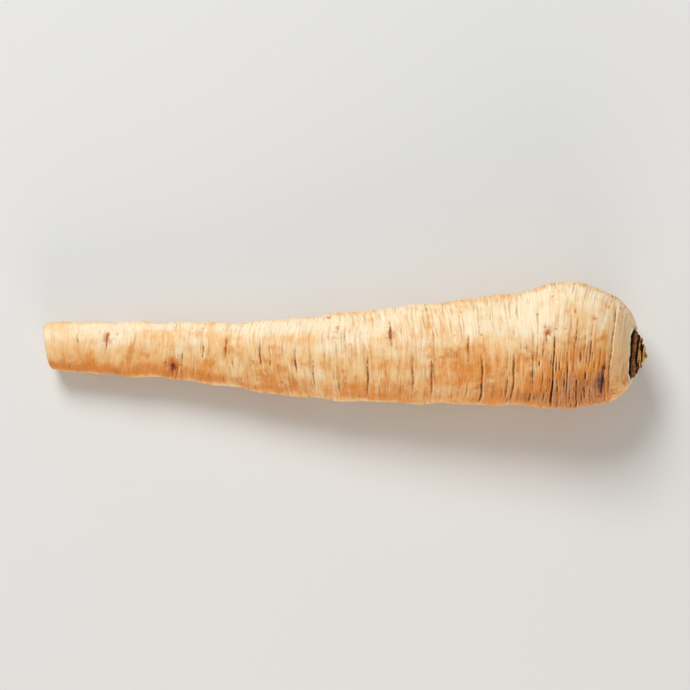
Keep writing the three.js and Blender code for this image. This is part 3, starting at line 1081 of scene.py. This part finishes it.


# %% [markdown]
# ### Dried leaf stalk
#
# The stubs are dead plant fibre: brown on the outermost, and copper and ochre at their torn
# tops further in. The gaps between the sheaths are painted almost black, as shade.
# Streaks run up them, 0.35 mm wide. They are dull and let no light through.


# %% Dried stalk
def dried_stalk():
    """Dark fibre that turns copper and ochre towards the tips, with painted black shade in the
    gaps.

    The painted shade lies where little of a sheath is bare. It grows narrower towards the peak.
    """
    material, tree = new_material("leaf_stalk_dried")
    fields = (("fibre", "Vector"), ("tipward", "Fac"), ("bare", "Fac"))
    fibre, tipward, bare = (
        add(tree, "Attribute", {}, attribute_name=name).outputs[kind] for name, kind in fields
    )
    strands, blotches = grains(tree, fibre, [
        ((0.35, 1.8, 1.0), 0, 4, 0.65), ((2.4, 0.5, 1.0), 0, 3, 0.55),
    ])
    upwards = total(tree, -0.8, (tipward, 1), (strands, 0.7), (blotches, 1.6))
    at_peak = share(tree, (tipward, 0.2, 0.55))
    crack_shade = total(tree, bare, (strands, 0.3), (at_peak, 0.5))
    colour = coats(
        tree, "#331C0E",
        ("#8A5222", (strands, 0.38, 0.62)), ("#C8803A", 0.9, (upwards, 0.35, 0.9)),
        ("#E8B268", 0.9, (blotches, 0.38, 0.6), (upwards, 0.5, 1.1)),
        # Painted shade: near black in the gaps between the sheaths.
        ("#0F0804", (crack_shade, 0.45, 0.2)),
    )
    surface = add(tree, "BsdfPrincipled", {
        "Base Color": colour, "Roughness": 0.82, "IOR": 1.45, "Specular IOR Level": 0.25,
        "Normal": add(tree, "Bump", {"Height": strands, "Strength": 0.9, "Distance": 0.2 * MM}),
    })
    add(tree, "OutputMaterial", {"Surface": surface})
    return material


# %% Dress the pieces
TIP_SKIN_RINGS = 4  # the tip's outermost rings, where the skin begins

root.data.materials.append(parsnip_skin())
root.data.materials.append(cut_flesh())
slots = np.zeros(len(root.data.polygons), np.int32)
slots[:(TIP_RINGS - TIP_SKIN_RINGS) * AROUND] = 1
slots[len(quads):len(quads) + AROUND] = 1  # the fan in the middle of the tip
root.data.polygons.foreach_set("material_index", slots)
stubs.data.materials.append(dried_stalk())

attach(root, "root")
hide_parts("root")
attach(stubs, "root")
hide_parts("leaf_stalk_stubs")
print("faces of cut flesh:", int(slots.sum()), "of", len(slots))

# %% [markdown]
# ## The stage
#
# The photograph looks straight down, with light from the far side and a pale ground. A long lens
# from well above keeps both ends of the root as wide as they are. The far light is large, so
# its shadow is soft, and a weak warm one lifts the near side.

# %% Floor
FLOOR_HALF = 3.0  # half its width, m


def plain_floor():
    """One square face of pale, matt paper at the height of the table."""
    corners = [(x * FLOOR_HALF, y * FLOOR_HALF, 0) for x, y in ((-1, -1), (1, -1), (1, 1), (-1, 1))]
    mesh = bpy.data.meshes.new("floor")
    mesh.from_pydata(corners, [], [(0, 1, 2, 3)])
    material, tree = new_material("pale_matt_paper")
    surface = add(tree, "BsdfPrincipled", {"Base Color": linear("#DDDDDB"), "Roughness": 0.9})
    add(tree, "OutputMaterial", {"Surface": surface})
    mesh.materials.append(material)
    floor = new_object("floor", mesh)


plain_floor()


# %% Lights
def soft_light(name, place_at, width, power, colour):
    """A square area light that faces the middle of the root."""
    data = bpy.data.lights.new(name, "AREA")
    data.size, data.energy, data.color = width, power, linear(colour)[:3]
    lamp = new_object(name, data)
    lamp.location = place_at
    middle = (cad_box[0] + cad_box[1]) / 2
    lamp.rotation_euler = (middle - lamp.location).to_track_quat("-Z", "Y").to_euler()


soft_light("far_window", (-0.45, 0.95, 1.05), 0.60, 16.4, "#FFFFFF")
soft_light("near_card", (0.10, -0.75, 0.17), 0.50, 3.3, "#FFE8CC")
world = bpy.data.worlds.new("studio")
bpy.context.scene.world = world
world.use_nodes = True
background = world.node_tree.nodes["Background"]
background.inputs["Color"].default_value = linear("#F1F2F4")
background.inputs["Strength"].default_value = 0.50
bpy.context.scene.view_settings.view_transform = "Standard"

# %% Camera
SHARE_OF_WIDTH = 0.88  # of the picture that the root fills
camera_data = bpy.data.cameras.new("camera")
camera_data.lens, camera_data.sensor_width = 135, 36
camera = new_object("camera", camera_data)
seen_width = (cad_box[1].x - cad_box[0].x) / SHARE_OF_WIDTH
middle_height = (cad_box[0].z + cad_box[1].z) / 2
camera.location = (0, 0, middle_height + seen_width * camera_data.lens / camera_data.sensor_width)
bpy.context.scene.camera = camera
print("camera height, m:", round(camera.location.z, 3))
